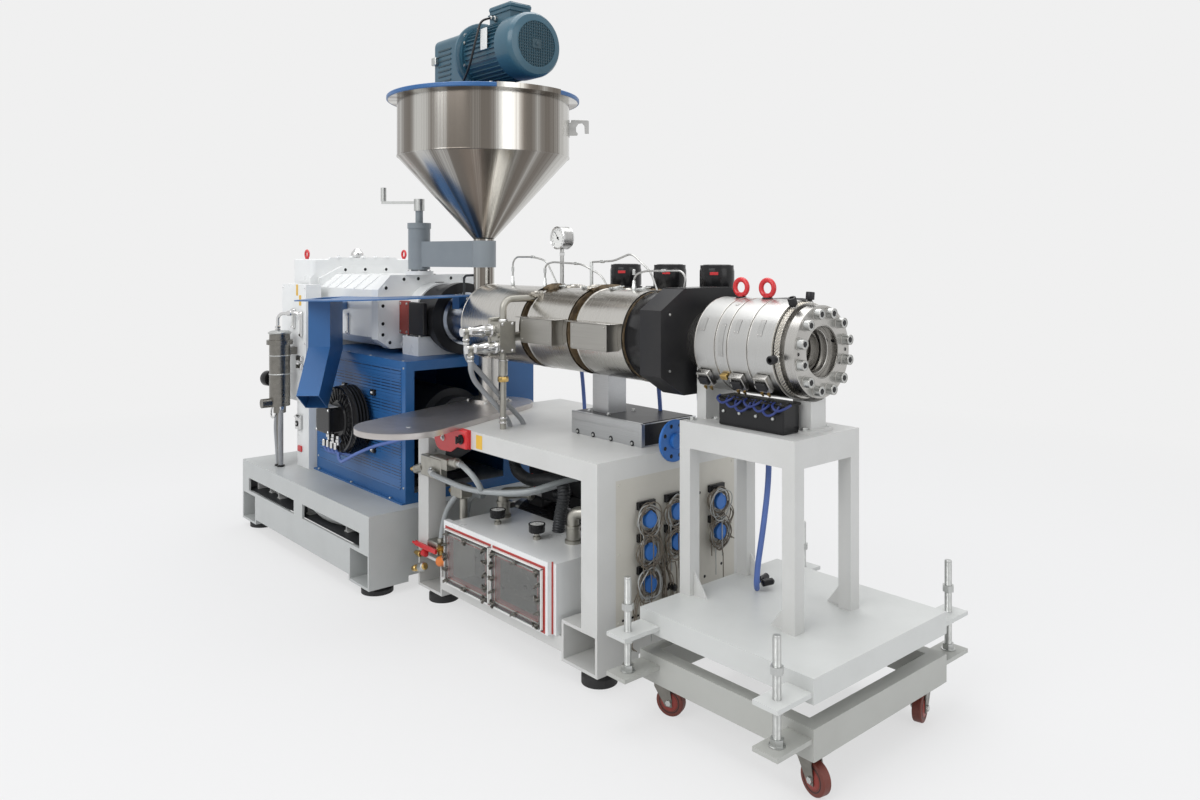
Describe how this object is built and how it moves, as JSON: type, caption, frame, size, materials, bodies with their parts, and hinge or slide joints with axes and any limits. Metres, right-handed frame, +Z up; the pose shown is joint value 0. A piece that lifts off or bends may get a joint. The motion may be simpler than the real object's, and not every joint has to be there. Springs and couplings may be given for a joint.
{
  "type": "plastic extruder",
  "caption": "Single-screw plastic extruder with gearbox, swing-out feed hopper, cooled barrel, pipe die head on a wheeled stand, vacuum tank and framed bases",
  "frame": {"origin": "middle of the machine's footprint, on the floor", "axes": "+X along the extrusion line, out of the die; +Z up; the operator stands on the -Y side"},
  "size_m": [3.8984, 1.454, 2.786],
  "materials": {
    "brass": "plain brass",
    "bronze_steel": "heat-tinted steel",
    "black_paint": "black semi-gloss paint",
    "stainless": "brushed stainless sheet",
    "zinc_steel": "zinc-plated steel",
    "red_plastic": "red-brown caster tread",
    "grey_paint": "grey machine paint",
    "white_paint": "white gloss machine paint",
    "machined_steel": "machined steel",
    "frame_paint": "light grey-white powder coat",
    "blue_paint": "blue powder coat",
    "teal_paint": "blue-grey motor paint",
    "aluminium": "milled aluminium",
    "rubber": "black rubber",
    "red_paint": "red gloss paint",
    "dark_grey_paint": "dark grey machine paint",
    "grey_hose": "grey reinforced hose",
    "beige_paint": "beige powder coat",
    "blue_plastic": "blue plastic",
    "clear_pane": "clear pane",
    "red_rubber": "red silicone rubber"
  },
  "bodies": {
    "machine": {"ball_valve": "brass", "barrel_core": "bronze_steel", "barrel_end_housing": "black_paint", "barrel_shrouds": "stainless", "cooling_blowers": "black_paint", "coupling_drum": "black_paint", "coupling_foot": "grey_paint", "coupling_guard": "white_paint", "die_head": "machined_steel", "die_heater_bands": "stainless", "die_stand": "frame_paint", "drive_base_top": "frame_paint", "drive_base_walls": "frame_paint", "emptying_chute": "blue_paint", "emptying_table": "blue_paint", "enclosure_blower": "black_paint", "feed_section": "machined_steel", "flange_bolts": "zinc_steel", "front_support": "aluminium", "gearbox_main_casing": "white_paint", "gearbox_rear_casing": "white_paint", "gearbox_stand": "frame_paint", "levelling_pads": "rubber", "lifting_eyes": "red_paint", "main_motor": "dark_grey_paint", "manifold_hoses": "grey_hose", "middle_frame": "frame_paint", "motor_enclosure": "blue_paint", "oil_cabinet": "white_paint", "oil_filter": "stainless", "oil_manifold": "stainless", "outlet_flange": "machined_steel", "pressure_gauge": "stainless", "rear_support": "machined_steel", "socket_panel": "beige_paint", "sockets": "blue_plastic", "tank_windows": "clear_pane", "terminal_boxes": "stainless", "trolley_deck": "frame_paint", "vacuum_tank": "white_paint", "window_gaskets": "red_rubber", "worktop": "machined_steel"},
    "swing_column": {"swing_post": "grey_paint"},
    "hopper_arm": {"swing_arm": "grey_paint", "hopper_shell": "stainless", "hopper_lid": "blue_paint", "feeder_gear_unit": "teal_paint", "feeder_motor": "teal_paint"},
    "crank_lever": {"crank": "zinc_steel"},
    "lifting_frame": {"trolley_frame": "frame_paint", "trolley_rods": "zinc_steel"},
    "tank_valve_lever": {"valve_lever": "red_paint"},
    "caster_swivel_1": {"caster_fork_1": "zinc_steel"},
    "caster_roller_1": {"caster_wheel_1": "red_plastic"},
    "caster_swivel_2": {"caster_fork_2": "zinc_steel"},
    "caster_roller_2": {"caster_wheel_2": "red_plastic"},
    "caster_swivel_3": {"caster_fork_3": "zinc_steel"},
    "caster_roller_3": {"caster_wheel_3": "red_plastic"},
    "caster_swivel_4": {"caster_fork_4": "zinc_steel"},
    "caster_roller_4": {"caster_wheel_4": "red_plastic"}
  },
  "joints": [
    {"name": "hopper_swing", "type": "hinge", "parent": "machine", "child": "swing_column", "pos_m": [-0.79, 0.013, 1.51], "axis": [0, 0, 1], "range_deg": [-133, 0]},
    {"name": "hopper_lift", "type": "slide", "parent": "swing_column", "child": "hopper_arm", "axis": [0, 0, 1], "range_m": [0, 0.045]},
    {"name": "crank_turn", "type": "hinge", "parent": "swing_column", "child": "crank_lever", "pos_m": [-0.79, 0.013, 1.51], "axis": [0, 0, 1], "range_deg": [-100, 100]},
    {"name": "trolley_height", "type": "slide", "parent": "machine", "child": "lifting_frame", "axis": [0, 0, 1], "range_m": [0, 0.045]},
    {"name": "valve_turn", "type": "hinge", "parent": "machine", "child": "tank_valve_lever", "pos_m": [-0.06, -0.33, 0.262], "axis": [0, 1, 0], "range_deg": [0, 90]},
    {"name": "caster_turn_1", "type": "hinge", "parent": "lifting_frame", "child": "caster_swivel_1", "pos_m": [1.87, -0.209, 0.113], "axis": [0, 0, 1], "continuous": true},
    {"name": "caster_roll_1", "type": "hinge", "parent": "caster_swivel_1", "child": "caster_roller_1", "pos_m": [1.89749, -0.21434, 0.05], "axis": [0.1908, 0.9816, 0], "continuous": true},
    {"name": "caster_turn_2", "type": "hinge", "parent": "lifting_frame", "child": "caster_swivel_2", "pos_m": [1.87, 0.435, 0.113], "axis": [0, 0, 1], "continuous": true},
    {"name": "caster_roll_2", "type": "hinge", "parent": "caster_swivel_2", "child": "caster_roller_2", "pos_m": [1.87725, 0.40795, 0.05], "axis": [0.9659, 0.2588, 0], "continuous": true},
    {"name": "caster_turn_3", "type": "hinge", "parent": "lifting_frame", "child": "caster_swivel_3", "pos_m": [1.264, -0.209, 0.113], "axis": [0, 0, 1], "continuous": true},
    {"name": "caster_roll_3", "type": "hinge", "parent": "caster_swivel_3", "child": "caster_roller_3", "pos_m": [1.29031, -0.19942, 0.05], "axis": [-0.342, 0.9397, 0], "continuous": true},
    {"name": "caster_turn_4", "type": "hinge", "parent": "lifting_frame", "child": "caster_swivel_4", "pos_m": [1.264, 0.435, 0.113], "axis": [0, 0, 1], "continuous": true},
    {"name": "caster_roll_4", "type": "hinge", "parent": "caster_swivel_4", "child": "caster_roller_4", "pos_m": [1.23769, 0.44458, 0.05], "axis": [-0.342, -0.9397, 0], "continuous": true}
  ]
}
